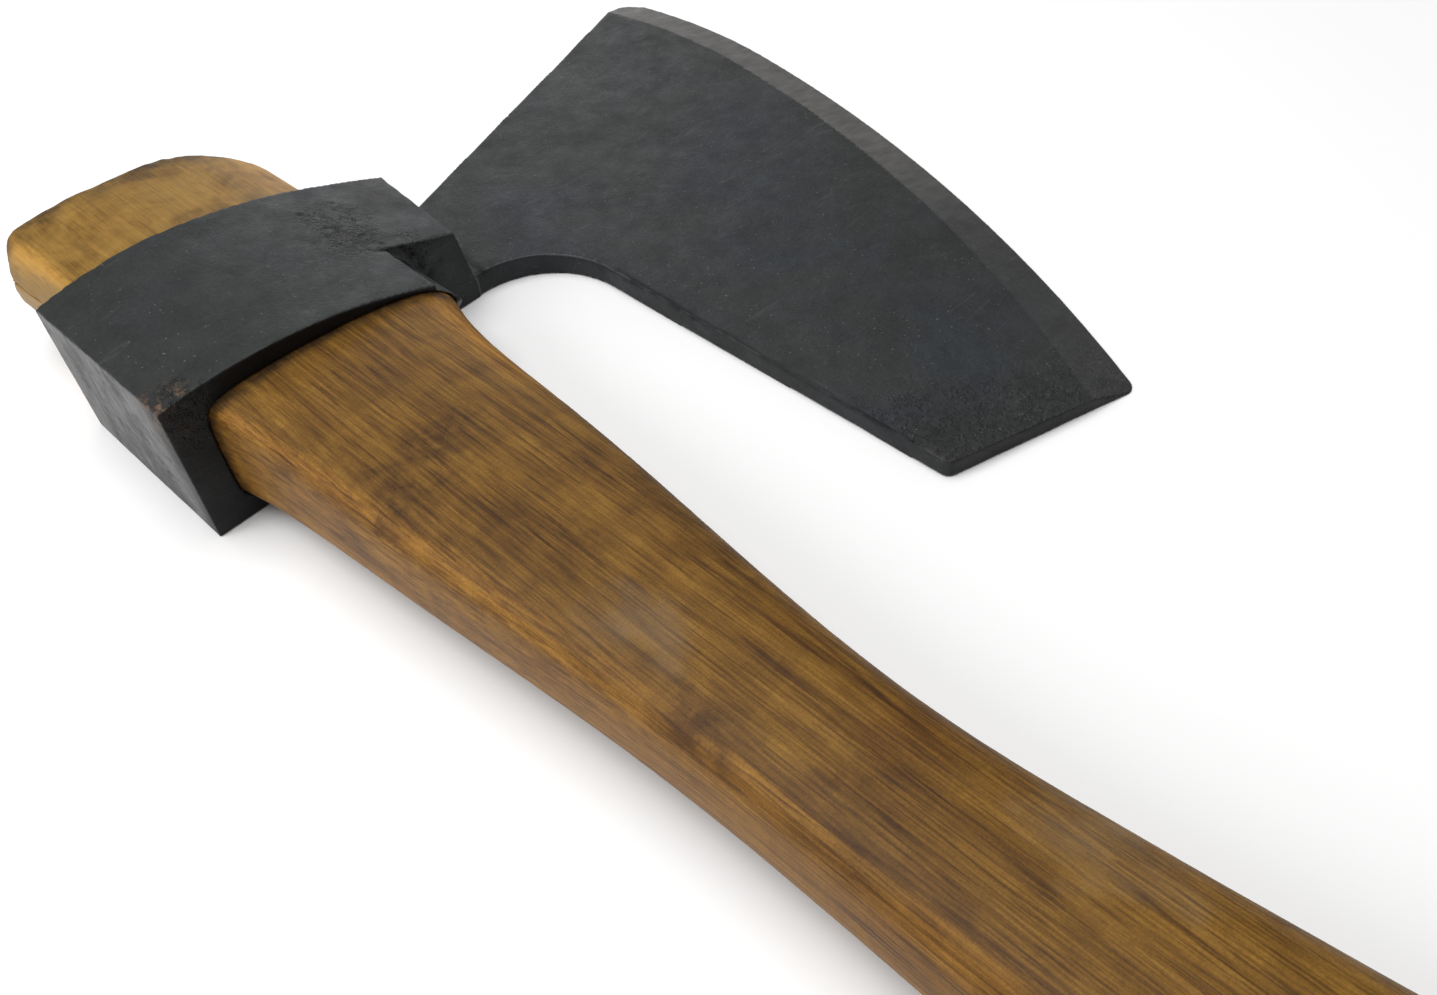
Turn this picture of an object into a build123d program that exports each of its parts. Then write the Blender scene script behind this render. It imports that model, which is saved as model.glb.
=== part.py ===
from build123d import *
from math import copysign, cos, pi, radians, sin
import os

# A flat-backed broad axe lying on the flat side of its blade. +X points from the poll to the
# cutting edge, +Y to the top end of the haft (the grip runs towards -Y) and +Z up, out of the
# bevelled side. The origin is on the flat back, under the middle of the eye. Millimetres.

# Head
POLL_X = -38.0
HEAD_LENGTH = 51.0  # along the haft
TOP_SIDE_Y = HEAD_LENGTH / 2
GRIP_SIDE_Y = -HEAD_LENGTH / 2
# side profiles at the two rims: the arch over the eye, ending at the step down to the blade
ARCH_TOP_SIDE = [(POLL_X, 32.8), (-28, 34.6), (-12, 35.4), (8, 32.8), (26, 27.8), (45.8, 20.4)]
ARCH_GRIP_SIDE = [(POLL_X, 34.6), (-28, 35.6), (-12, 35.2), (8, 31.8), (26, 25.8), (41.4, 20.6)]
STEP_RUN = 3.0  # how far the step leans towards the edge
STEP_FOOT_Z = 4.0

# Collar that carries the eye past the neck, on the grip side
COLLAR_X = 25.0
COLLAR_ROOT_X = 20.0
COLLAR_ROOT_Z = 20.0
COLLAR_NOSE = [(32.6, 11.0), (30.6, 18.4), (25.6, 24.4)]
COLLAR_CUT_TOP = (GRIP_SIDE_Y, 19.0)  # the collar's edge slants back from the rim to the neck
COLLAR_CUT_FOOT = (-9.0, 0.0)

# Neck wall, facing the grip
NECK_WALL_START = (COLLAR_X, -7.4)
NECK_WALL_END = (52.0, -6.4)
NECK_INSIDE_Y = -5.0

# Blade
UPPER_EDGE_START = (46.0, 24.0)
UPPER_EDGE_SLOPE = 0.382
HEEL_INNER = (70.0, -126.6)
HEEL_SLOPE = -0.31
BEARD_CORNER = (68.0, -6.3)
BEARD_RADIUS = 22.0
TOE_RADIUS = 6.0
HEEL_EDGE_RADIUS = 3.0
HEEL_INNER_RADIUS = 2.5
BLADE_FAR_X = 190.0
EDGE_SHOULDER = (168.9, 16.0)  # where the long arc of the cutting edge meets the toe's arc
EDGE_LEAN = 7.7  # degrees between the cutting edge and the haft at the shoulder
EDGE_RADIUS = 443.0
TOE_ARC_RADIUS = 155.0
EDGE_ARC_TO_HEEL = 25.0
EDGE_ARC_TO_TOE = 25.0
EDGE_LAND = 0.4
BEVEL_TAPER = 74.0
PLATE_AT_NECK = (48.0, -6.0, 6.5)
PLATE_FALL_X = 0.028
PLATE_FALL_Y = -0.008
PLATE_BLANK = 12.0

# Sections of the eye and of the haft: rear X, front X, floor Z, height, squareness of the rear
# corners, squareness of the front corners, fall of the top towards the front
EYE_AT_GRIP_SIDE = (-29.8, 28.8, 4.0, 26.9, 9.0, 3.2, 0.12)
EYE_AT_TOP_SIDE = (-30.2, 30.6, 4.0, 28.2, 8.0, 3.0, 0.15)  # wider, so that the wedges lock it
STUB_FLARE = (-35.5, 30.4, 4.0, 27.7, 2.7, 2.7, 0.15)  # what the stub widens towards
FALL_START = -0.25  # where the top starts to fall: -1 is the rear of a section and 1 its front
SECTION_POINTS = 24

# Haft
STUB_REAR = (-36.2, 63.8)  # the end face seen from above: rear corner, middle, front corner
STUB_MIDDLE = (-2.6, 64.6)
STUB_FRONT = (31.0, 57.8)
STUB_REAR_RADIUS = 16.0
STUB_FRONT_RADIUS = 23.0
STUB_TOP = (60.0, 32.6)  # the end face seen from the side: top, peak, foot
STUB_PEAK = (67.0, 14.0)
STUB_FOOT = (64.0, 3.4)
STUB_RIM_RADIUS = 8.0
HAFT_AXIS_Z = 17.5
BUTT_Y = -328.0
BUTT_CORNERS_X = (-24.8, 26.4)
BUTT_RADIUS = 8.0
BUTT_RIM_RADIUS = 11.0
# distance along Y, rear X, front X, thickness, rear and front squareness, fall of the top
HAFT_STATIONS = [
    (-45, -27.4, 24.2, 26.5, 6.5, 3.2, 0.10),
    (-75, -25.4, 21.4, 26.0, 5.0, 3.2, 0.06),
    (-105, -22.8, 18.1, 25.6, 4.4, 3.0, 0.02),
    (-135, -20.6, 14.4, 25.2, 4.0, 3.0, 0.0),
    (-165, -19.8, 12.6, 25.0, 4.0, 3.0, 0.0),
    (-200, -20.2, 14.9, 25.6, 4.0, 3.0, 0.0),
    (-238, -21.0, 19.4, 26.4, 4.0, 3.0, 0.0),
    (-275, -22.6, 23.8, 27.2, 4.0, 3.0, 0.0),
    (-305, -24.4, 26.4, 27.6, 4.0, 3.0, 0.0),
    (-330, -23.8, 25.4, 26.2, 4.0, 3.0, 0.0),
]

# Wedges
KERF_TIP_Y = -10.0
KERF_TIP_THICKNESS = 1.2
KERF_HEAD_THICKNESS = 6.0
KERF_Z = 17.0
STEEL_WEDGE_X = -2.0
STEEL_WEDGE_WIDTH = 19.0
STEEL_WEDGE_HEAD = 4.0
STEEL_WEDGE_TIP = 0.8
STEEL_WEDGE_LENGTH = 30.0
STEEL_WEDGE_TURN = 24.0
STEEL_WEDGE_PROUD = 0.6

CLEAR = 20.0  # how far cutting tools reach past what they cut


def section_points(rear, front, floor, height, rear_squareness, front_squareness, front_fall):
    """Points of an oval section, boxier with squareness, whose top sinks towards the front."""
    middle = (rear + front) / 2
    points = []
    for step in range(SECTION_POINTS):
        angle = 2 * pi * (step + 0.5) / SECTION_POINTS
        power = 2 / (rear_squareness if cos(angle) < 0 else front_squareness)
        across = copysign(abs(cos(angle)) ** power, cos(angle))
        up = (1 + copysign(abs(sin(angle)) ** power, sin(angle))) / 2
        sink = front_fall * max(0.0, across - FALL_START)
        points.append((middle + across * (front - rear) / 2, floor + up * height * (1 - sink)))
    return points


def section_face(y, section):
    with BuildSketch(Plane.XZ.offset(-y)) as face:
        with BuildLine():
            Spline(*section_points(*section), periodic=True)
        make_face()
    return face.sketch


def make_eye_core():
    """The wood that fills the eye from rim to rim."""
    with BuildPart() as core:
        add(section_face(GRIP_SIDE_Y, EYE_AT_GRIP_SIDE))
        add(section_face(TOP_SIDE_Y, EYE_AT_TOP_SIDE))
        loft(ruled=True)
    return core.part


def cheek_face(y, arch):
    """Side profile of the head from the poll to the step down to the blade."""
    with BuildSketch(Plane.XZ.offset(-y)) as face:
        with BuildLine():
            top = Spline(*arch)
            foot_x = arch[-1][0] + STEP_RUN
            Polyline(top @ 1, (foot_x, STEP_FOOT_Z), (foot_x, 0), (POLL_X, 0), top @ 0)
        make_face()
    return face.sketch


def edge_centre(radius):
    """Centre of an arc of the cutting edge: both arcs share their normal at the shoulder."""
    lean = radians(EDGE_LEAN)
    return (EDGE_SHOULDER[0] - radius * cos(lean), EDGE_SHOULDER[1] + radius * sin(lean))


def edge_region(outset):
    """Everything on the poll side of the cutting edge, moved outwards by outset."""
    with BuildSketch() as region:
        with BuildLine():
            long_arc = CenterArc(
                edge_centre(EDGE_RADIUS),
                EDGE_RADIUS + outset,
                -EDGE_LEAN - EDGE_ARC_TO_HEEL,
                EDGE_ARC_TO_HEEL,
            )
            toe_arc = CenterArc(
                edge_centre(TOE_ARC_RADIUS),
                TOE_ARC_RADIUS + outset,
                -EDGE_LEAN,
                EDGE_ARC_TO_TOE,
            )
            far_x = 2 * POLL_X
            Polyline(toe_arc @ 1, (far_x, (toe_arc @ 1).Y), (far_x, (long_arc @ 0).Y), long_arc @ 0)
        make_face()
    return region.sketch


def blade_plan():
    """Outline of the blade seen from above, from inside the cheek to the cutting edge."""
    far_run = BLADE_FAR_X - UPPER_EDGE_START[0]
    heel_run = BLADE_FAR_X - HEEL_INNER[0]
    with BuildSketch() as plan:
        with BuildLine():
            Polyline(
                (COLLAR_ROOT_X, UPPER_EDGE_START[1]),
                UPPER_EDGE_START,
                (BLADE_FAR_X, UPPER_EDGE_START[1] + far_run * UPPER_EDGE_SLOPE),
                (BLADE_FAR_X, HEEL_INNER[1] + heel_run * HEEL_SLOPE),
                HEEL_INNER,
                BEARD_CORNER,
                (COLLAR_ROOT_X, BEARD_CORNER[1]),
                close=True,
            )
        make_face()
        add(edge_region(0), mode=Mode.INTERSECT)
        fillet(plan.vertices().sort_by(Axis.Y)[-1], TOE_RADIUS)
        fillet(plan.vertices().sort_by(Axis.Y)[0], HEEL_EDGE_RADIUS)
        fillet(plan.vertices().sort_by_distance(HEEL_INNER)[0], HEEL_INNER_RADIUS)
        fillet(plan.vertices().sort_by_distance(BEARD_CORNER)[0], BEARD_RADIUS)
    return plan.sketch


def make_blade():
    """Flat back, top face falling towards the edge and heel, one bevel along the cutting edge."""
    top_plane = Plane(
        origin=PLATE_AT_NECK,
        x_dir=(1, 0, -PLATE_FALL_X),
        z_dir=(PLATE_FALL_X, PLATE_FALL_Y, 1),
    )
    outset = EDGE_LAND * sin(radians(BEVEL_TAPER)) / cos(radians(BEVEL_TAPER))
    with BuildPart() as bevel_tool:
        add(edge_region(outset))
        extrude(amount=PLATE_AT_NECK[2] + 1, taper=BEVEL_TAPER)
    with BuildPart() as blade:
        add(blade_plan())
        extrude(amount=PLATE_BLANK)
        split(bisect_by=top_plane, keep=Keep.BOTTOM)
        add(bevel_tool.part, mode=Mode.INTERSECT)
    return blade.part


def make_collar():
    """The front wall of the eye, from the neck to the rim on the grip side."""
    with BuildPart() as collar:
        with BuildSketch(Plane.XZ.offset(-NECK_INSIDE_Y)):
            with BuildLine():
                nose = ThreePointArc(*COLLAR_NOSE)
                Polyline(
                    nose @ 1,
                    (COLLAR_ROOT_X, COLLAR_ROOT_Z),
                    (COLLAR_ROOT_X, 0),
                    (COLLAR_NOSE[0][0], 0),
                    nose @ 0,
                )
            make_face()
        extrude(amount=NECK_INSIDE_Y - GRIP_SIDE_Y)
        with BuildSketch(Plane.YZ.offset(COLLAR_X)):
            with BuildLine():
                Polyline(
                    COLLAR_CUT_TOP,
                    COLLAR_CUT_FOOT,
                    (GRIP_SIDE_Y - CLEAR, COLLAR_CUT_FOOT[1]),
                    (GRIP_SIDE_Y - CLEAR, COLLAR_CUT_TOP[1]),
                    close=True,
                )
            make_face()
        extrude(amount=CLEAR, mode=Mode.SUBTRACT)
    return collar.part


def make_head(eye_core):
    blade = make_blade()
    with BuildPart() as axe_head:
        add(cheek_face(TOP_SIDE_Y, ARCH_TOP_SIDE))
        add(cheek_face(GRIP_SIDE_Y, ARCH_GRIP_SIDE))
        loft(ruled=True)
        with BuildSketch():
            with BuildLine():
                Polyline(
                    NECK_WALL_START,
                    NECK_WALL_END,
                    (NECK_WALL_END[0], GRIP_SIDE_Y - CLEAR),
                    (COLLAR_X, GRIP_SIDE_Y - CLEAR),
                    close=True,
                )
            make_face()
        extrude(amount=2 * CLEAR, mode=Mode.SUBTRACT)
        add(blade)
        add(make_collar())
        add(eye_core, mode=Mode.SUBTRACT)
    axe_head.part.label = "axe_head"
    export_step(axe_head.part, "parts/axe_head.step")
    return axe_head.part


def haft_envelope():
    """A block around the haft whose rounded corners shape its two ends."""
    with BuildPart() as envelope:
        with BuildSketch() as plan:
            with BuildLine():
                Polyline(
                    (BUTT_CORNERS_X[0], BUTT_Y),
                    (BUTT_CORNERS_X[1], BUTT_Y),
                    (BUTT_CORNERS_X[1] + CLEAR, BUTT_Y + 3 * CLEAR),
                    (STUB_FRONT[0] + CLEAR, GRIP_SIDE_Y),
                    (STUB_FRONT[0], GRIP_SIDE_Y),
                    STUB_FRONT,
                )
                ThreePointArc(STUB_FRONT, STUB_MIDDLE, STUB_REAR)
                Polyline(
                    STUB_REAR,
                    (STUB_REAR[0], GRIP_SIDE_Y),
                    (STUB_REAR[0] - CLEAR, GRIP_SIDE_Y),
                    (BUTT_CORNERS_X[0] - CLEAR, BUTT_Y + 3 * CLEAR),
                    (BUTT_CORNERS_X[0], BUTT_Y),
                )
            make_face()
            fillet(plan.vertices().sort_by_distance(STUB_REAR)[0], STUB_REAR_RADIUS)
            fillet(plan.vertices().sort_by_distance(STUB_FRONT)[0], STUB_FRONT_RADIUS)
            fillet(plan.vertices().group_by(Axis.Y)[0], BUTT_RADIUS)
        extrude(amount=3 * CLEAR)
        with BuildSketch(Plane.YZ.offset(2 * POLL_X)) as side:
            with BuildLine():
                Polyline(STUB_TOP, (BUTT_Y, STUB_TOP[1]), (BUTT_Y, STUB_FOOT[1]), STUB_FOOT)
                ThreePointArc(STUB_FOOT, STUB_PEAK, STUB_TOP)
            make_face()
            fillet(side.vertices().sort_by(Axis.X)[:2], BUTT_RIM_RADIUS)
            fillet(side.vertices().sort_by(Axis.X)[-2:], STUB_RIM_RADIUS)
        extrude(amount=-4 * POLL_X, mode=Mode.INTERSECT)
    return envelope.part


def make_tenon(envelope, eye_core):
    """The haft from the rim of the head up through the eye to its rounded top end."""
    with BuildPart() as tenon:
        add(section_face(TOP_SIDE_Y, EYE_AT_TOP_SIDE))
        add(section_face(STUB_MIDDLE[1] + CLEAR, STUB_FLARE))
        loft(ruled=True)
        add(envelope, mode=Mode.INTERSECT)
        add(eye_core)
    return tenon.part


def make_kerf_blank():
    """The long taper that fills the saw kerf, wider than the haft."""
    far_y = STUB_MIDDLE[1] + CLEAR
    growth = (KERF_HEAD_THICKNESS - KERF_TIP_THICKNESS) / (STUB_MIDDLE[1] - KERF_TIP_Y)
    far_half = (KERF_TIP_THICKNESS + growth * (far_y - KERF_TIP_Y)) / 2
    tip_half = KERF_TIP_THICKNESS / 2
    with BuildPart() as blank:
        with BuildSketch(Plane.YZ.offset(POLL_X)):
            with BuildLine():
                Polyline(
                    (KERF_TIP_Y, KERF_Z - tip_half),
                    (far_y, KERF_Z - far_half),
                    (far_y, KERF_Z + far_half),
                    (KERF_TIP_Y, KERF_Z + tip_half),
                    close=True,
                )
            make_face()
        extrude(amount=-2 * POLL_X)
    return blank.part


def make_steel_wedge():
    """A small flat wedge driven across the wooden one, at an angle to it."""
    place = Plane(
        origin=(STEEL_WEDGE_X, STUB_MIDDLE[1] + STEEL_WEDGE_PROUD, KERF_Z),
        x_dir=(cos(radians(STEEL_WEDGE_TURN)), 0, sin(radians(STEEL_WEDGE_TURN))),
        z_dir=(0, -1, 0),
    )
    with BuildPart() as steel_wedge:
        with BuildSketch(place):
            Rectangle(STEEL_WEDGE_HEAD, STEEL_WEDGE_WIDTH)
        with BuildSketch(place.offset(STEEL_WEDGE_LENGTH)):
            Rectangle(STEEL_WEDGE_TIP, STEEL_WEDGE_WIDTH)
        loft()
    steel_wedge.part.label = "steel_wedge"
    export_step(steel_wedge.part, "parts/steel_wedge.step")
    return steel_wedge.part


def make_wooden_wedge(tenon, kerf_blank, steel_wedge):
    with BuildPart() as wooden_wedge:
        add(tenon)
        add(kerf_blank, mode=Mode.INTERSECT)
        add(steel_wedge, mode=Mode.SUBTRACT)
    wooden_wedge.part.label = "wooden_wedge"
    export_step(wooden_wedge.part, "parts/wooden_wedge.step")


def make_haft(envelope, tenon, kerf_blank, steel_wedge):
    with BuildPart() as haft:
        add(section_face(GRIP_SIDE_Y, EYE_AT_GRIP_SIDE))
        for y, rear, front, thickness, *shape in HAFT_STATIONS:
            add(section_face(y, (rear, front, HAFT_AXIS_Z - thickness / 2, thickness, *shape)))
        loft()
        add(envelope, mode=Mode.INTERSECT)
        add(tenon)
        add(kerf_blank, mode=Mode.SUBTRACT)
        add(steel_wedge, mode=Mode.SUBTRACT)
    haft.part.label = "haft"
    export_step(haft.part, "parts/haft.step")


os.makedirs("parts", exist_ok=True)
core = make_eye_core()
make_head(core)
ends = haft_envelope()
haft_tenon = make_tenon(ends, core)
kerf = make_kerf_blank()
cross_wedge = make_steel_wedge()
make_wooden_wedge(haft_tenon, kerf, cross_wedge)
make_haft(ends, haft_tenon, kerf, cross_wedge)
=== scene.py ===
import bmesh
import bpy
import numpy as np
from mathutils import Matrix, Vector
from mathutils.bvhtree import BVHTree
from mathutils.kdtree import KDTree


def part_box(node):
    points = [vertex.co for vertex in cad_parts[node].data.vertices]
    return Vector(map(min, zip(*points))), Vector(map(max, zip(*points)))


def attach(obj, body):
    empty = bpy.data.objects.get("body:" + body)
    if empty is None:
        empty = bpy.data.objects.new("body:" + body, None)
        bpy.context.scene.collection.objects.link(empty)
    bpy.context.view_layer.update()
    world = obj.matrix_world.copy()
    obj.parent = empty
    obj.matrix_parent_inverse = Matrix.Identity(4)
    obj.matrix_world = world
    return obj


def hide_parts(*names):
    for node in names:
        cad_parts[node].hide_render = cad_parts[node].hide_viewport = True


# A broad axe lying on its flat back. Metres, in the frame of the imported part: +X poll to cutting
# edge, +Y to the top end of the haft, +Z up.

SEED = 11

# Camera, at the height and angle of a person looking down at a table
CAMERA_PLACE = (-0.0832, -0.2265, 0.1959)
CAMERA_FORWARD = (0.4515, 0.4982, -0.7402)
CAMERA_RIGHT = (0.6924, -0.7189, -0.0616)
CAMERA_LENS = 32.74  # mm on a 36 mm wide sensor

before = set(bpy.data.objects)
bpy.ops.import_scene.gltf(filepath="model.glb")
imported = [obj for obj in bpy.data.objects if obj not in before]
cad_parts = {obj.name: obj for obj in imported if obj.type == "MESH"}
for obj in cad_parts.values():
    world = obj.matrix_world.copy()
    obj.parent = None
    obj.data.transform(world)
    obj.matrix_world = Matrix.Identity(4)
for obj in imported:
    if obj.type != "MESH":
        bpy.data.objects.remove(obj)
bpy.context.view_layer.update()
root = "root"


# ---------------------------------------------------------------- noise and mesh helpers

class LatticeNoise:
    """Smooth noise between -1 and 1 on a repeating lattice, the same on every run."""

    SIZE = 64

    def __init__(self, seed):
        self.values = np.random.RandomState(seed).uniform(-1, 1, (self.SIZE,) * 3)

    def __call__(self, points, cell):
        q = points / np.asarray(cell)
        low = np.floor(q).astype(int)
        t = q - low
        t = t * t * (3 - 2 * t)
        total = np.zeros(len(q))
        for dx in (0, 1):
            wx = t[:, 0] if dx else 1 - t[:, 0]
            for dy in (0, 1):
                wy = t[:, 1] if dy else 1 - t[:, 1]
                for dz in (0, 1):
                    wz = t[:, 2] if dz else 1 - t[:, 2]
                    i, j, k = ((low + (dx, dy, dz)) % self.SIZE).T
                    total += wx * wy * wz * self.values[i, j, k]
        return total


def smoothstep(low, high, value):
    t = np.clip((value - low) / (high - low), 0, 1)
    return t * t * (3 - 2 * t)


def coordinates(mesh):
    points = np.empty(len(mesh.vertices) * 3)
    mesh.vertices.foreach_get("co", points)
    return points.reshape(-1, 3)


def normals(mesh):
    values = np.empty(len(mesh.vertices) * 3)
    mesh.vertex_normals.foreach_get("vector", values)
    return values.reshape(-1, 3)


def set_coordinates(mesh, points):
    mesh.vertices.foreach_set("co", points.ravel())
    mesh.update()


def store(mesh, name, values):
    layer = mesh.attributes.new(name, "FLOAT", "POINT")
    layer.data.foreach_set("value", np.clip(values, 0, 1).astype(np.float32))


def dense_copy(node, name, voxel, smoothing, keep=1.0, prepare=None):
    """A closed, evenly meshed copy of a CAD node with its edges slightly rounded."""
    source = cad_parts[node]
    copy = bpy.data.objects.new(name, source.data.copy())
    bpy.context.scene.collection.objects.link(copy)
    copy.data.materials.clear()
    weld = bmesh.new()
    weld.from_mesh(copy.data)
    bmesh.ops.remove_doubles(weld, verts=weld.verts, dist=1e-6)
    weld.to_mesh(copy.data)
    weld.free()
    if prepare:
        prepare(copy.data)
    surface = surface_tree(copy.data)
    remesh = copy.modifiers.new("remesh", "REMESH")
    remesh.mode = "VOXEL"
    remesh.voxel_size = voxel
    apply_modifiers(copy)
    points = coordinates(copy.data).tolist()
    set_coordinates(copy.data, np.array([tuple(surface.find_nearest(point)[0]) for point in points]))
    smooth = copy.modifiers.new("smooth", "SMOOTH")
    smooth.factor = 0.5
    smooth.iterations = smoothing
    if keep < 1:
        thin_out = copy.modifiers.new("thin out", "DECIMATE")
        thin_out.ratio = keep
    apply_modifiers(copy)
    return copy


def relax(piece, chosen, rounds):
    """Smooths the chosen points of a piece, to lose the flats of the CAD mesh."""
    group = piece.vertex_groups.new(name="relaxed")
    group.add(np.flatnonzero(chosen).tolist(), 1.0, "REPLACE")
    smooth = piece.modifiers.new("relax", "SMOOTH")
    smooth.factor = 0.5
    smooth.iterations = rounds
    smooth.vertex_group = group.name
    apply_modifiers(piece)


def apply_modifiers(piece):
    graph = bpy.context.evaluated_depsgraph_get()
    graph.update()
    mesh = bpy.data.meshes.new_from_object(piece.evaluated_get(graph))
    piece.modifiers.clear()
    old = piece.data
    piece.data = mesh
    bpy.data.meshes.remove(old)


def shade_smooth(mesh):
    mesh.polygons.foreach_set("use_smooth", [True] * len(mesh.polygons))
    mesh.update()


def surface_tree(mesh):
    faces = [tuple(polygon.vertices) for polygon in mesh.polygons]
    return BVHTree.FromPolygons([vertex.co.copy() for vertex in mesh.vertices], faces)


def cad_normals(node, points):
    """The normal of the nearest CAD face at each point."""
    tree = surface_tree(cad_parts[node].data)
    found = [tree.find_nearest(point)[1] for point in points.tolist()]
    return np.array([tuple(normal) for normal in found])


def dent(points, normals_in, tree, centre, radius, depth):
    """Pushes the surface in around a centre, deepest in the middle."""
    for _, index, distance in tree.find_range(Vector(centre), radius):
        fall = (1 - (distance / radius) ** 2) ** 2
        points[index] -= normals_in[index] * depth * fall


def distance_to_path(points, path):
    """Distance from each point to the nearest place on a path, in as many axes as both have."""
    nearest = np.full(len(points), np.inf)
    for start, end in zip(path[:-1], path[1:]):
        along = end - start
        share = np.clip(((points - start) @ along) / (along @ along), 0, 1)
        gap = np.linalg.norm(points - start - share[:, None] * along, axis=1)
        nearest = np.minimum(nearest, gap)
    return nearest


def cut_groove(points, normals_in, path, width, depth, wander):
    """Scores a line that wanders, and gives how deep in it each point is, from 0 to 1."""
    gap = distance_to_path(points + wander[:, None] * width, np.array(path))
    points -= normals_in * (depth * (1 - np.clip(gap / width, 0, 1) ** 2) ** 2)[:, None]
    return smoothstep(width, width * 0.3, gap)


# ---------------------------------------------------------------- material helpers

class Nodes:
    """Shorthand for building one material's node tree."""

    def __init__(self, name):
        self.material = bpy.data.materials.new(name)
        self.material.use_nodes = True
        self.tree = self.material.node_tree
        self.shader = self.tree.nodes["Principled BSDF"]
        coordinate = self.tree.nodes.new("ShaderNodeTexCoord")
        self.position = coordinate.outputs["Object"]

    def link(self, value, socket):
        if isinstance(value, bpy.types.NodeSocket):
            self.tree.links.new(value, socket)
        else:
            socket.default_value = value

    def stretched(self, scale):
        node = self.tree.nodes.new("ShaderNodeMapping")
        node.inputs["Scale"].default_value = scale
        self.link(self.position, node.inputs["Vector"])
        return node.outputs["Vector"]

    def noise(self, scale, detail=4.0, roughness=0.55, distortion=0.0, vector=None):
        node = self.tree.nodes.new("ShaderNodeTexNoise")
        self.link(vector or self.position, node.inputs["Vector"])
        node.inputs["Scale"].default_value = scale
        node.inputs["Detail"].default_value = detail
        node.inputs["Roughness"].default_value = roughness
        node.inputs["Distortion"].default_value = distortion
        return node.outputs["Fac"]

    def spots(self, scale):
        node = self.tree.nodes.new("ShaderNodeTexVoronoi")
        self.link(self.position, node.inputs["Vector"])
        node.inputs["Scale"].default_value = scale
        return node.outputs["Distance"]

    def ramp(self, value, *stops):
        node = self.tree.nodes.new("ShaderNodeValToRGB")
        elements = node.color_ramp.elements
        while len(elements) < len(stops):
            elements.new(0.5)
        for element, (place, colour) in zip(elements, stops):
            element.position = place
            element.color = (*colour, 1) if isinstance(colour, tuple) else (colour,) * 3 + (1,)
        self.link(value, node.inputs["Fac"])
        return node.outputs["Color"]

    def mix(self, factor, a, b, mode="MIX"):
        node = self.tree.nodes.new("ShaderNodeMix")
        node.data_type = "RGBA"
        node.blend_type = mode
        self.link(factor, node.inputs["Factor"])
        for value, socket in ((a, node.inputs["A"]), (b, node.inputs["B"])):
            colour_sockets = [s for s in node.inputs if s.name == socket.name and s.type == "RGBA"]
            self.link((*value, 1) if isinstance(value, tuple) else value, colour_sockets[0])
        return [s for s in node.outputs if s.type == "RGBA"][0]

    def maths(self, operation, a, b=0.0, clamp=False):
        node = self.tree.nodes.new("ShaderNodeMath")
        node.operation = operation
        node.use_clamp = clamp
        self.link(a, node.inputs[0])
        self.link(b, node.inputs[1])
        return node.outputs[0]

    def attribute(self, name):
        node = self.tree.nodes.new("ShaderNodeAttribute")
        node.attribute_name = name
        return node.outputs["Fac"]

    def bump(self, height, distance, strength=1.0, normal=None):
        node = self.tree.nodes.new("ShaderNodeBump")
        node.inputs["Strength"].default_value = strength
        node.inputs["Distance"].default_value = distance
        self.link(height, node.inputs["Height"])
        if normal:
            self.link(normal, node.inputs["Normal"])
        return node.outputs["Normal"]

    def set(self, name, value):
        if isinstance(value, tuple):
            value = (*value, 1)
        self.link(value, self.shader.inputs[name])


# ---------------------------------------------------------------- materials

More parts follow.
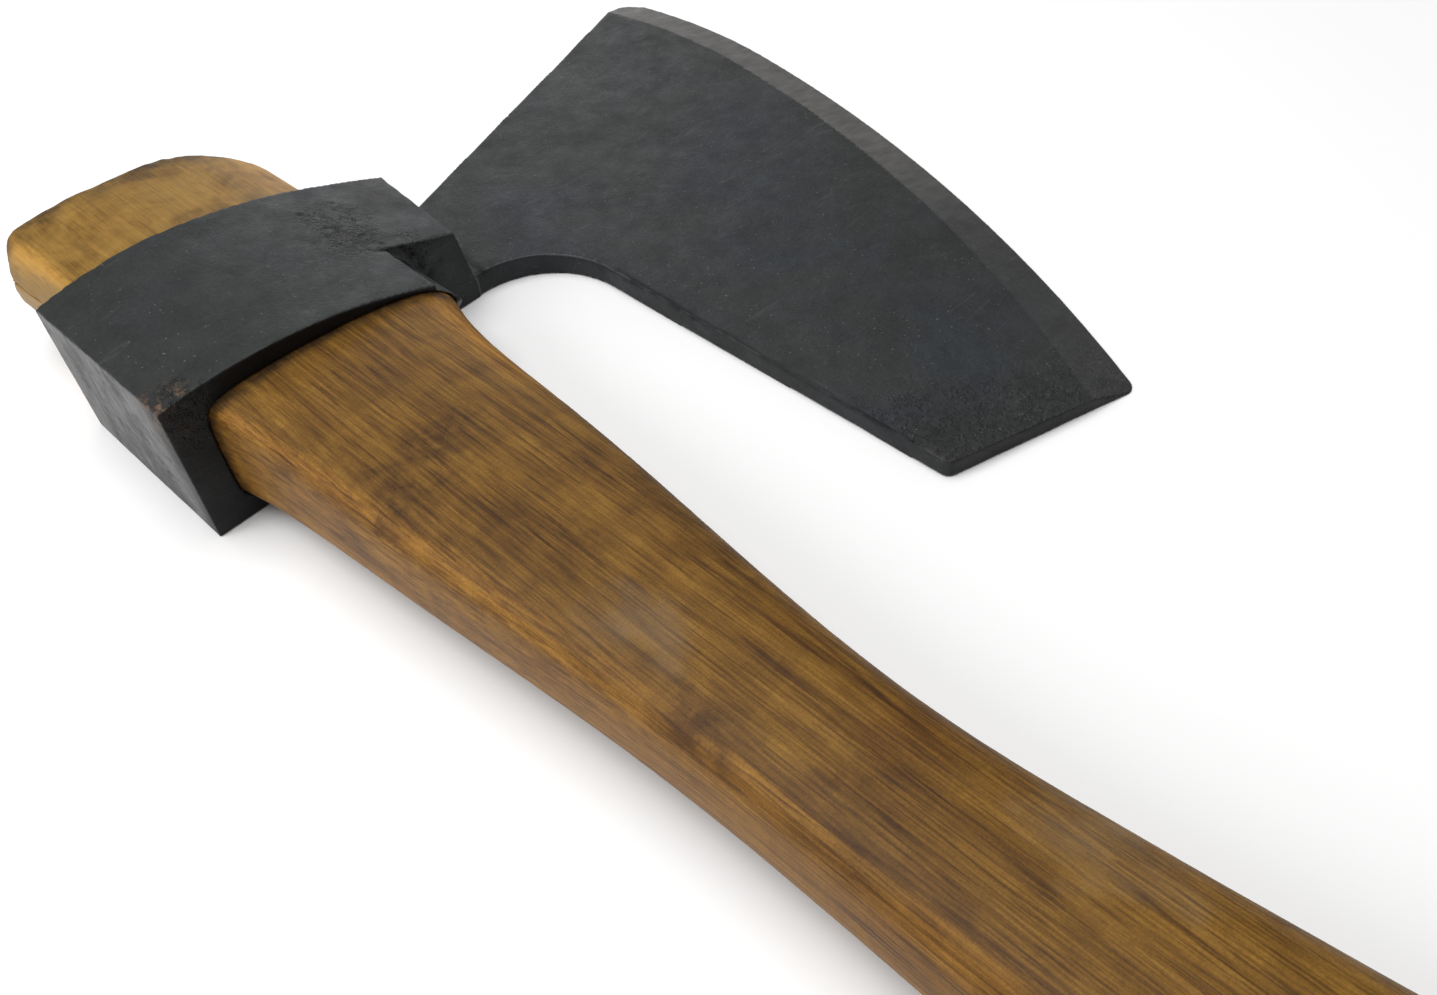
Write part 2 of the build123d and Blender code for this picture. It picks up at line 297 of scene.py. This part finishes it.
def forged_steel():
    n = Nodes("dark forge scale")
    patches = n.noise(24, 4, 0.6, 0.6)
    scale_colour = n.ramp(
        patches,
        (0.36, (0.018, 0.021, 0.019)),
        (0.50, (0.020, 0.022, 0.022)),
        (0.64, (0.019, 0.022, 0.026)),
    )
    cloud = n.noise(120, 8, 0.72)
    scale_colour = n.mix(1.0, scale_colour, n.ramp(cloud, (0.30, 0.70), (0.70, 1.30)), "MULTIPLY")
    grit = n.noise(1500, 5, 0.7)
    scale_colour = n.mix(1.0, scale_colour, n.ramp(grit, (0.32, 0.72), (0.68, 1.32)), "MULTIPLY")
    specks = n.maths("LESS_THAN", n.spots(520), n.maths("MULTIPLY", n.noise(70, 3), 0.17))
    scale_colour = n.mix(n.maths("MULTIPLY", specks, 0.30), scale_colour, (0.24, 0.25, 0.23))
    lines = n.noise(420, 2, 0.5, 1.2, n.stretched((0.16, 1.0, 1.0)))
    hairs = n.maths("MULTIPLY", n.ramp(lines, (0.67, 0.0), (0.70, 1.0)), n.noise(45, 2))
    scale_colour = n.mix(n.maths("MULTIPLY", hairs, 0.22), scale_colour, (0.11, 0.115, 0.11))

    holes = n.ramp(n.spots(620), (0.16, 1.0), (0.34, 0.0))
    flaking = n.ramp(n.noise(520, 4, 0.7), (0.50, 0.0), (0.58, 1.0))
    pitting = n.maths("MULTIPLY", n.attribute("pitted"), n.maths("MAXIMUM", holes, flaking))
    scale_colour = n.mix(n.maths("MULTIPLY", pitting, 0.50), scale_colour, (0.008, 0.008, 0.008))

    streaks = n.noise(900, 4, 0.65, 0, n.stretched((0.6, 1.0, 0.06)))
    worn_colour = n.ramp(streaks, (0.32, (0.070, 0.069, 0.071)), (0.68, (0.178, 0.175, 0.176)))
    left_scale = n.ramp(n.noise(170, 7, 0.78), (0.53, 1.0), (0.61, 0.25))
    worn_colour = n.mix(1.0, worn_colour, left_scale, "MULTIPLY")
    dull_patches = n.ramp(n.noise(62, 6, 0.7, 0.3), (0.47, 1.0), (0.58, 0.42))
    worn_colour = n.mix(1.0, worn_colour, dull_patches, "MULTIPLY")
    colour = n.mix(n.attribute("worn"), scale_colour, worn_colour)

    ground_colour = n.ramp(
        n.noise(420, 5, 0.6, 0, n.stretched((0.2, 1.0, 1.0))),
        (0.32, (0.062, 0.060, 0.057)),
        (0.68, (0.110, 0.107, 0.102)),
    )
    colour = n.mix(n.attribute("ground"), colour, ground_colour)
    # Lighter on rubbed edges, with a painted highlight strongest along the burr at the neck.
    colour = n.mix(n.attribute("wear_and_highlight"), colour, (0.085, 0.087, 0.085))
    rust_breakup = n.ramp(n.noise(420, 5, 0.8), (0.50, 0.0), (0.62, 1.0))
    burn = n.maths("MULTIPLY", n.attribute("burnt"), rust_breakup)
    colour = n.mix(burn, colour, (0.15, 0.085, 0.050))
    rust = n.ramp(n.noise(48, 8, 0.75, 0.5), (0.62, 0.0), (0.74, 0.35))
    colour = n.mix(rust, colour, (0.070, 0.058, 0.047))
    # Painted shade: darker under the grip-side rim, in the bore, on the beard's flank and along the
    # cracks.
    shaded_colour = n.mix(1.0, colour, (0.20, 0.19, 0.21), "MULTIPLY")
    colour = n.mix(n.attribute("painted_shade"), colour, shaded_colour)
    n.set("Base Color", colour)
    n.set("Metallic", 0.15)
    n.shader.inputs["Specular IOR Level"].default_value = 0.27
    n.set("Roughness", n.ramp(cloud, (0.3, 0.62), (0.7, 0.46)))
    fine = n.bump(grit, 0.00010, 0.8, n.bump(n.maths("SUBTRACT", 0.0, pitting), 0.0004))
    n.set("Normal", n.bump(cloud, 0.0005, 0.6, fine))
    return n.material


def wood(name, dark, middle, light, blotches):
    n = Nodes(name)
    wander = n.noise(9, 2)
    fibres = n.noise(1900, 4, 0.60, 0.15, n.stretched((1.0, 0.035, 1.0)))
    bands = n.noise(330, 4, 0.6, 0.4, n.stretched((1.0, 0.045, 1.0)))
    colour = n.ramp(
        n.maths("ADD", n.maths("MULTIPLY", fibres, 0.55), n.maths("MULTIPLY", bands, 0.45)),
        (0.37, dark),
        (0.50, middle),
        (0.64, light),
    )
    ticks = n.noise(1700, 2, 0.5, 0, n.stretched((1.0, 0.035, 1.0)))
    pores = n.maths("MULTIPLY", n.ramp(ticks, (0.57, 0.0), (0.62, 1.0)), n.noise(120, 3))
    pore_colour = n.mix(1.0, colour, (0.40, 0.34, 0.30), "MULTIPLY")
    colour = n.mix(n.maths("MULTIPLY", pores, 1.1, True), colour, pore_colour)
    chatter = n.noise(120, 4, 0.62, 0.5, n.stretched((0.55, 1.0, 0.55)))
    chatter_tint = n.ramp(chatter, (0.36, (0.84, 0.80, 0.77)), (0.60, (1.08, 1.07, 1.05)))
    colour = n.mix(1.0, colour, chatter_tint, "MULTIPLY")
    dust = n.ramp(n.noise(2400, 3, 0.7), (0.34, (0.82, 0.80, 0.78)), (0.66, (1.14, 1.13, 1.12)))
    colour = n.mix(1.0, colour, dust, "MULTIPLY")
    stain = n.ramp(n.noise(21, 6, 0.65, 0.4), (0.56, 0.0), (0.74, blotches))
    colour = n.mix(stain, colour, n.mix(1.0, colour, (0.66, 0.53, 0.48), "MULTIPLY"))
    spot_breakup = n.ramp(n.noise(180, 5, 0.7), (0.36, 0.25), (0.58, 1.0))
    spot = n.maths("MULTIPLY", n.attribute("blotted"), spot_breakup)
    colour = n.mix(spot, colour, n.mix(1.0, colour, (0.30, 0.24, 0.22), "MULTIPLY"))
    calmer = n.mix(0.55, colour, light)
    unstained = n.ramp(n.noise(75, 6, 0.68, 0.5), (0.46, 1.0), (0.63, 0.35))
    bare_colour = n.mix(1.0, calmer, (1.34, 1.50, 2.00), "MULTIPLY")
    colour = n.mix(n.maths("MULTIPLY", n.attribute("bare"), unstained), colour, bare_colour)
    # Lighter where the edges are rubbed, with a painted highlight on the ridge and shoulder and painted
    # light on the -X flank, partly stain rubbed off.
    colour = n.mix(n.attribute("wear_and_highlight"), colour, n.mix(1.0, colour, (1.75, 1.65, 1.55), "MULTIPLY"))
    haze = n.maths("MULTIPLY", n.attribute("hazy"), n.noise(140, 6, 0.7))
    colour = n.mix(haze, colour, (0.24, 0.20, 0.15))
    # Grime at the end rim and by the top of the head, and painted shade just below the grip-side rim.
    grime_and_shade_breakup = n.ramp(n.noise(260, 6, 0.7), (0.35, 0.35), (0.6, 1.0))
    grime_and_shade_mask = n.maths("MULTIPLY", n.attribute("grime_and_shade"), grime_and_shade_breakup)
    colour = n.mix(grime_and_shade_mask, colour, (0.020, 0.011, 0.005))
    n.set("Base Color", colour)
    n.set("Roughness", n.ramp(wander, (0.3, 0.46), (0.7, 0.58)))
    n.shader.inputs["Specular IOR Level"].default_value = 0.19
    n.set("Normal", n.bump(ticks, 0.00012, 0.6, n.bump(fibres, 0.00016, 0.6)))
    return n.material


def wedge_steel():
    n = Nodes("hammered wedge steel")
    scratches = n.noise(1400, 3, 0.6, 0, n.stretched((0.05, 1.0, 1.0)))
    n.set("Base Color", n.ramp(scratches, (0.3, (0.10, 0.095, 0.09)), (0.7, (0.24, 0.235, 0.23))))
    n.set("Metallic", 0.8)
    n.set("Roughness", n.ramp(n.noise(300, 5), (0.3, 0.36), (0.7, 0.60)))
    n.set("Normal", n.bump(n.noise(500, 4), 0.0002))
    return n.material


# ---------------------------------------------------------------- the forged head

EYE_TOP_Y = 0.0255  # the eye's rim at the top end of the haft
EYE_GRIP_Y = -0.0255  # the eye's rim at the grip
EYE_WALL_X = 0.034  # within the front wall of the eye
EYE_CENTRE = (0, 0, 0.018)
POLL_TOP_Z = 0.034  # at the grip side corner, where rust shows
NECK_X = 0.046  # the collar ends and the neck begins
NECK_BURR_HIGHLIGHT = (0.056, -0.006)  # a burr on the neck, brightened as a painted highlight; seen from above
BLADE_X = 0.070  # the neck ends and the blade begins
HEEL_PITTING_START = (0.0702, -0.1180)  # seen from above; it ends at the cutting edge
LAND = 0.0004  # height of the thin face along the cutting edge
MESHED_LAND = 0.0011  # its height while the head is meshed, so that the thin edge stays whole
BEVEL_SLOPE = 0.2867  # rise of the bevel for each metre in from the edge
BEVEL_REACH = 0.012  # a little wider than the bevel

# scored lines: path, width, depth
CRACKS = [
    ([(0.0446, -0.0075, 0.0205), (0.0468, -0.0068, 0.0120), (0.0478, -0.0066, 0.0060)], 0.0014, 0.0008),
    ([(0.0478, -0.0060, 0.0064), (0.0481, 0.0080, 0.0063), (0.0484, 0.0240, 0.0061)], 0.0010, 0.0003),
    ([(0.0290, -0.0074, 0.0248), (0.0322, -0.0073, 0.0190), (0.0345, -0.0072, 0.0115)], 0.0011, 0.0007),
    ([(0.0345, -0.0072, 0.0165), (0.0375, -0.0070, 0.0160), (0.0405, -0.0070, 0.0115)], 0.0009, 0.0005),
    ([(0.0250, -0.0110, 0.0262), (0.0262, -0.0150, 0.0252), (0.0275, -0.0200, 0.0225)], 0.0009, 0.0004),
    ([(0.0692, -0.0300, 0.0057), (0.0696, -0.0750, 0.0053), (0.0702, -0.1180, 0.0050)], 0.0009, 0.0003),
    ([(0.0200, -0.0075, 0.0278), (0.0250, -0.0076, 0.0262), (0.0300, -0.0076, 0.0248)], 0.0010, 0.0004),
]
# clusters of pits: centre, spread, how many, smallest and largest radius
PITS = [
    ((0.0215, -0.0010, 0.0300), 0.0050, 34, (0.0004, 0.0011)),
    ((0.0230, 0.0090, 0.0290), 0.0050, 14, (0.0004, 0.0009)),
    ((0.0310, -0.0060, 0.0240), 0.0030, 12, (0.0004, 0.0008)),
    ((0.1060, -0.1100, 0.0060), 0.0060, 10, (0.0005, 0.0010)),
    ((0.1180, -0.0950, 0.0060), 0.0050, 8, (0.0005, 0.0010)),
    ((-0.0330, -0.0235, 0.0350), 0.0025, 10, (0.0004, 0.0008)),
]


def on_land(points):
    return (points[:, 0] > BLADE_X) & (np.abs(points[:, 2] - LAND) < 0.0001)


def cutting_edge():
    """The cutting edge seen from above, from heel to toe, read off the CAD mesh."""
    points = coordinates(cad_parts["axe_head"].data)
    edge = np.unique(points[on_land(points)][:, :2].round(6), axis=0)
    return edge[np.argsort(edge[:, 1])]


def thicken_land(mesh):
    points = coordinates(mesh)
    points[on_land(points), 2] = MESHED_LAND
    set_coordinates(mesh, points)


def restore_land(points, edge):
    """Brings the bevel back down to its real height, and gives each point's distance to the edge."""
    gap = distance_to_path(points[:, :2], edge)
    real = LAND + BEVEL_SLOPE * gap
    top = LAND + BEVEL_SLOPE * BEVEL_REACH
    meshed = MESHED_LAND + (top - MESHED_LAND) / BEVEL_REACH * gap
    points[:, 2] *= np.where(gap < BEVEL_REACH, real / meshed, 1)
    return gap


def forge_surface(points, outward, facing, edge_gap):
    """Hammers, cracks and pits the surface; gives how cracked and how uneven each point is."""
    undulation = LatticeNoise(SEED)
    texture = LatticeNoise(SEED + 1)
    strength = smoothstep(0.0, 0.012, edge_gap) * 0.9 + 0.1
    depth = 0.00022 * (1 + undulation(points, 0.017)) / 2
    depth += 0.00009 * (1 + texture(points, 0.0045)) / 2
    depth += 0.00004 * (1 + texture(points + 1, 0.0016)) / 2
    points -= outward * (depth * strength)[:, None]

    ragged = texture(points, 0.004) * 0.5 + undulation(points, 0.012) * 0.5
    wander = np.stack([texture(points + shift, 0.0022) for shift in (2, 3, 4)], axis=1).mean(axis=1)
    scored = np.zeros(len(points))
    for path, width, cut in CRACKS:
        scored = np.maximum(scored, cut_groove(points, outward, path, width, cut, 0.9 * wander))

    rng = np.random.RandomState(SEED)
    tree = KDTree(len(points))
    for index, point in enumerate(points.tolist()):
        tree.insert(point, index)
    tree.balance()
    upper = np.flatnonzero((facing[:, 2] > 0.5) & (edge_gap > 0.014))
    for index in rng.choice(upper, 60, replace=False):
        radius = rng.uniform(0.0008, 0.0018)
        dent(points, outward, tree, points[index], radius, rng.uniform(0.00006, 0.0002))
    for centre, spread, count, (small, large) in PITS:
        for _ in range(count):
            spot = Vector(centre) + Vector(rng.normal(0, spread, 3))
            _, index, _ = tree.find(spot)
            radius = rng.uniform(small, large)
            dent(points, outward, tree, points[index], radius, 0.35 * radius)
    return scored, ragged


def wear_head(mesh, points, outward, facing, scored, ragged):
    """Stores where the steel is worn, ground, pitted and burnt, where it is rubbed or carries a painted
    highlight, and where painted shade darkens it.
    """
    x, y, _ = points.T
    rear_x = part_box("axe_head")[0][0]
    poll = smoothstep(0.6, 0.95, -facing[:, 0]) * (x < rear_x + 0.004)
    store(mesh, "worn", poll * smoothstep(-0.0245, -0.0175, y + 0.004 * ragged))
    bevel = smoothstep(0.12, 0.22, facing[:, 0]) * (facing[:, 2] > 0.5) * (x > BLADE_X)
    store(mesh, "ground", bevel * (0.15 + 0.85 * smoothstep(-0.10, -0.03, y)))
    # Lighter along the edges as rubbed wear, and as a painted highlight that is strongest along the burr
    # at the neck.
    crest = (1 - np.abs((outward * facing).sum(1))) * 6
    burr_highlight = 1 + 1.6 * smoothstep(0.030, 0.012, np.hypot(x - NECK_BURR_HIGHLIGHT[0], y - NECK_BURR_HIGHLIGHT[1]))
    store(mesh, "wear_and_highlight", np.clip(crest - 0.25 + 0.3 * ragged, 0, 1) * 0.35 * burr_highlight)

    pitted = np.zeros(len(points))
    for centre, spread, _, _ in PITS:
        distance = np.linalg.norm((points - centre) * (1, 1, 0.5), axis=1) + 0.004 * ragged
        pitted = np.maximum(pitted, smoothstep(2.4 * spread, 0.3 * spread, distance))
    heel_line = np.array([HEEL_PITTING_START, cutting_edge()[0]])
    heel_gap = distance_to_path(points[:, :2], heel_line)
    heel = 0.6 * smoothstep(0.020, 0.002, heel_gap + 0.012 * ragged)
    heel = heel * (facing[:, 2] > 0.3) * (x > NECK_X)
    store(mesh, "pitted", np.maximum(heel, pitted * (x < NECK_X)))
    corner = np.linalg.norm(points - (rear_x, EYE_GRIP_Y, POLL_TOP_Z), axis=1)
    store(mesh, "burnt", smoothstep(0.010, 0.003, corner + 0.003 * ragged))

    # Painted shade: darker on the rim face below the grip, in the bore and on the beard's flank turned
    # away from the light; the cracks are darkened as well.
    under_rim = smoothstep(0.5, 0.9, -facing[:, 1]) * smoothstep(EYE_GRIP_Y + 0.004, EYE_GRIP_Y, y)
    bore = smoothstep(0.3, 0.9, -(facing * (points - EYE_CENTRE))[:, (0, 2)].sum(1) * 100)
    bore = bore * (np.abs(y) < EYE_TOP_Y - 0.001) * (x < EYE_WALL_X)
    beard = 0.35 * smoothstep(0.5, 0.9, -facing[:, 0] - facing[:, 1]) * (x > 0.03)
    store(mesh, "painted_shade", np.maximum.reduce([under_rim, bore, beard, scored]))


def make_head():
    head = dense_copy(
        "axe_head", "forged_axe_head", voxel=0.00055, smoothing=3, keep=0.42, prepare=thicken_land
    )
    mesh = head.data
    points = coordinates(mesh)
    facing = cad_normals("axe_head", points)
    edge_gap = restore_land(points, cutting_edge())
    set_coordinates(mesh, points)
    outward = normals(mesh)
    scored, ragged = forge_surface(points, outward, facing, edge_gap)
    points[:] = np.clip(points, *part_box("axe_head"))
    set_coordinates(mesh, points)
    shade_smooth(mesh)
    wear_head(mesh, points, outward, facing, scored, ragged)
    mesh.materials.append(forged_steel())
    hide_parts("axe_head")
    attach(head, root)


# ---------------------------------------------------------------- the haft and its wedges

# dark blots and pale haze on the haft: x, y, half width, half length, strength
BLOTS = [
    (-0.004, -0.065, 0.010, 0.007, 0.8),
    (-0.018, -0.072, 0.008, 0.010, 0.9),
    (-0.004, -0.099, 0.010, 0.014, 0.4),
    (-0.016, -0.144, 0.006, 0.007, 0.8),
    (-0.010, -0.172, 0.012, 0.010, 0.4),
    (0.012, -0.110, 0.007, 0.016, 0.5),
]
HAZES = [(-0.009, -0.123, 0.006, 0.009, 0.32), (0.006, -0.199, 0.006, 0.011, 0.30)]


def marks(points, spots, ragged):
    x, y, _ = points.T
    total = np.zeros(len(points))
    for at_x, at_y, half_width, half_length, strength in spots:
        reach = np.hypot((x - at_x) / half_width, (y - at_y) / half_length) + 0.9 * ragged
        total = np.maximum(total, strength * smoothstep(1.4, 0.2, reach))
    return total


def wear_haft(mesh, points, facing, ragged):
    """Stores where the wood is bare, rubbed or carrying a painted highlight, grimy or in painted shade,
    blotted and hazy.
    """
    x, y, _ = points.T
    top_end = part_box("haft")[1][1]
    store(mesh, "bare", smoothstep(EYE_TOP_Y - 0.004, EYE_TOP_Y + 0.001, y))
    # Lighter: rubbed wear and a painted highlight on the rear ridge and the front shoulder near the head;
    # the -X flank is lightened as painted light, partly stain rubbed off.
    corner = smoothstep(0.25, 0.6, -facing[:, 0]) * smoothstep(0.25, 0.6, facing[:, 2])
    shoulder = smoothstep(0.25, 0.6, facing[:, 0]) * smoothstep(0.25, 0.6, facing[:, 2])
    shoulder = shoulder * smoothstep(-0.075, -0.045, y)
    near_head = 0.35 + 0.45 * smoothstep(-0.130, -0.060, y)
    flank = 0.45 * smoothstep(0.5, 0.9, -facing[:, 0]) * (y < 0)
    edge_wear_and_highlight = np.maximum(corner, 1.4 * shoulder) * (near_head + 0.12 * ragged)
    store(mesh, "wear_and_highlight", np.maximum(edge_wear_and_highlight, flank))
    rim = smoothstep(top_end - 0.014, top_end - 0.004, y + 0.005 * ragged + 0.05 * np.minimum(x, 0))
    # Painted shade just below the grip-side rim, where shade falls between steel and wood; the end rim
    # and the band above the top rim are grime and stain.
    at_head = smoothstep(EYE_GRIP_Y - 0.0036, EYE_GRIP_Y - 0.0004, y + 0.0015 * ragged) * (y < 0)
    at_top = smoothstep(EYE_TOP_Y + 0.010, EYE_TOP_Y, y + 0.007 * ragged) * (y > 0)
    store(mesh, "grime_and_shade", np.maximum(rim * 0.90, np.maximum(at_head * 0.85, at_top * 0.60)))
    on_top = facing[:, 2] > 0.3
    store(mesh, "blotted", marks(points, BLOTS, ragged) * on_top)
    store(mesh, "hazy", marks(points, HAZES, ragged) * on_top)


def make_haft():
    haft = dense_copy("haft", "hand_shaped_haft", voxel=0.00072, smoothing=4, keep=0.65)
    points = coordinates(haft.data)
    kerf_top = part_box("wooden_wedge")[1][2]
    above_kerf = (points[:, 1] > EYE_TOP_Y + 0.001) & (points[:, 2] > kerf_top + 0.003)
    relax(haft, above_kerf, rounds=24)

    mesh = haft.data
    points = coordinates(mesh)
    outward = normals(mesh)
    facing = cad_normals("haft", points)
    low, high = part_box("haft")
    outside = (points[:, 1] > EYE_TOP_Y) | (points[:, 1] < EYE_GRIP_Y)
    shaving = LatticeNoise(SEED + 2)
    fibre = LatticeNoise(SEED + 3)
    depth = 0.00018 * (1 + shaving(points, (0.013, 0.070, 0.013))) / 2
    depth += 0.00009 * (1 + fibre(points, (0.0019, 0.024, 0.0019))) / 2
    end = smoothstep(high[1] - 0.014, high[1] - 0.002, points[:, 1])
    depth += end * 0.0006 * (1 + fibre(points, 0.0035)) / 2
    points -= outward * (depth * outside)[:, None]
    points[:] = np.clip(points, low, high)
    set_coordinates(mesh, points)
    shade_smooth(mesh)
    wear_haft(mesh, points, facing, shaving(points, 0.009) * 0.5 + fibre(points, 0.003) * 0.5)
    mesh.materials.append(
        wood("stained haft", (0.068, 0.029, 0.0040), (0.146, 0.071, 0.0090), (0.216, 0.112, 0.018), 0.55)
    )
    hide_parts("haft")
    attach(haft, root)


def make_wooden_wedge():
    wedge = dense_copy("wooden_wedge", "split_wooden_wedge", voxel=0.00045, smoothing=2)
    mesh = wedge.data
    points = coordinates(mesh)
    outward = normals(mesh)
    fibre = LatticeNoise(SEED + 4)
    low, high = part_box("wooden_wedge")
    end = smoothstep(high[1] - 0.012, high[1] - 0.002, points[:, 1])
    depth = (0.00004 + 0.0005 * end) * (1 + fibre(points, (0.0030, 0.010, 0.0012))) / 2
    points -= outward * depth[:, None]
    points[:] = np.clip(points, low, high)
    set_coordinates(mesh, points)
    shade_smooth(mesh)
    y = points[:, 1]
    none = np.zeros(len(points))
    store(mesh, "bare", none + 1)
    for name in ("wear_and_highlight", "blotted", "hazy"):
        store(mesh, name, none)
    store(mesh, "grime_and_shade", 0.55 * smoothstep(high[1] - 0.006, high[1] - 0.001, y))
    mesh.materials.append(
        wood("cleft wedge wood", (0.110, 0.056, 0.018), (0.190, 0.104, 0.030), (0.270, 0.155, 0.048), 0.4)
    )
    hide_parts("wooden_wedge")
    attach(wedge, root)


def make_steel_wedge():
    wedge = dense_copy("steel_wedge", "driven_steel_wedge", voxel=0.0003, smoothing=2)
    mesh = wedge.data
    points = coordinates(mesh)
    hammered = LatticeNoise(SEED + 5)
    depth = 0.00012 * (1 + hammered(points, 0.0028)) / 2
    points -= normals(mesh) * depth[:, None]
    points[:] = np.clip(points, *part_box("steel_wedge"))
    set_coordinates(mesh, points)
    shade_smooth(mesh)
    mesh.materials.append(wedge_steel())
    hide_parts("steel_wedge")
    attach(wedge, root)


# ---------------------------------------------------------------- floor, light and camera

def make_floor():
    bpy.ops.mesh.primitive_plane_add(size=6, location=(0, 0, 0))
    floor = bpy.context.object
    floor.name = "studio_floor"
    n = Nodes("studio floor")
    n.set("Base Color", (0.84, 0.84, 0.84))
    n.set("Roughness", 0.9)
    n.shader.inputs["Specular IOR Level"].default_value = 0.1
    floor.data.materials.append(n.material)


def area_light(name, place, aim, size, power):
    data = bpy.data.lights.new(name, "AREA")
    data.shape = "DISK"
    data.size = size
    data.energy = power
    lamp = bpy.data.objects.new(name, data)
    bpy.context.scene.collection.objects.link(lamp)
    lamp.location = place
    lamp.rotation_euler = (Vector(aim) - Vector(place)).to_track_quat("-Z", "Y").to_euler()


def make_light():
    world = bpy.data.worlds.new("studio")
    bpy.context.scene.world = world
    world.use_nodes = True
    background = world.node_tree.nodes["Background"]
    background.inputs["Color"].default_value = (1, 1, 1, 1)
    background.inputs["Strength"].default_value = 0.26
    area_light("overhead_softbox", (-0.08, 0.05, 1.15), aim=(0.0, -0.08, 0), size=1.1, power=13)
    area_light("left_softbox", (-0.95, 0.35, 0.70), aim=(0.0, -0.05, 0), size=0.8, power=8)
    area_light("back_strip", (0.75, 0.95, 0.30), aim=(0.03, 0.0, 0), size=0.6, power=2.2)


def make_camera():
    data = bpy.data.cameras.new("camera")
    data.sensor_width = 36
    data.lens = CAMERA_LENS
    camera = bpy.data.objects.new("camera", data)
    bpy.context.scene.collection.objects.link(camera)
    back = -Vector(CAMERA_FORWARD).normalized()
    right = Vector(CAMERA_RIGHT).normalized()
    up = back.cross(right).normalized()
    right = up.cross(back)
    turn = Matrix((right, up, back)).transposed()
    camera.matrix_world = Matrix.Translation(CAMERA_PLACE) @ turn.to_4x4()
    data.clip_start = 0.01
    bpy.context.scene.camera = camera


make_head()
make_haft()
make_wooden_wedge()
make_steel_wedge()
make_floor()
make_light()
make_camera()
bpy.context.scene.view_settings.view_transform = "Standard"
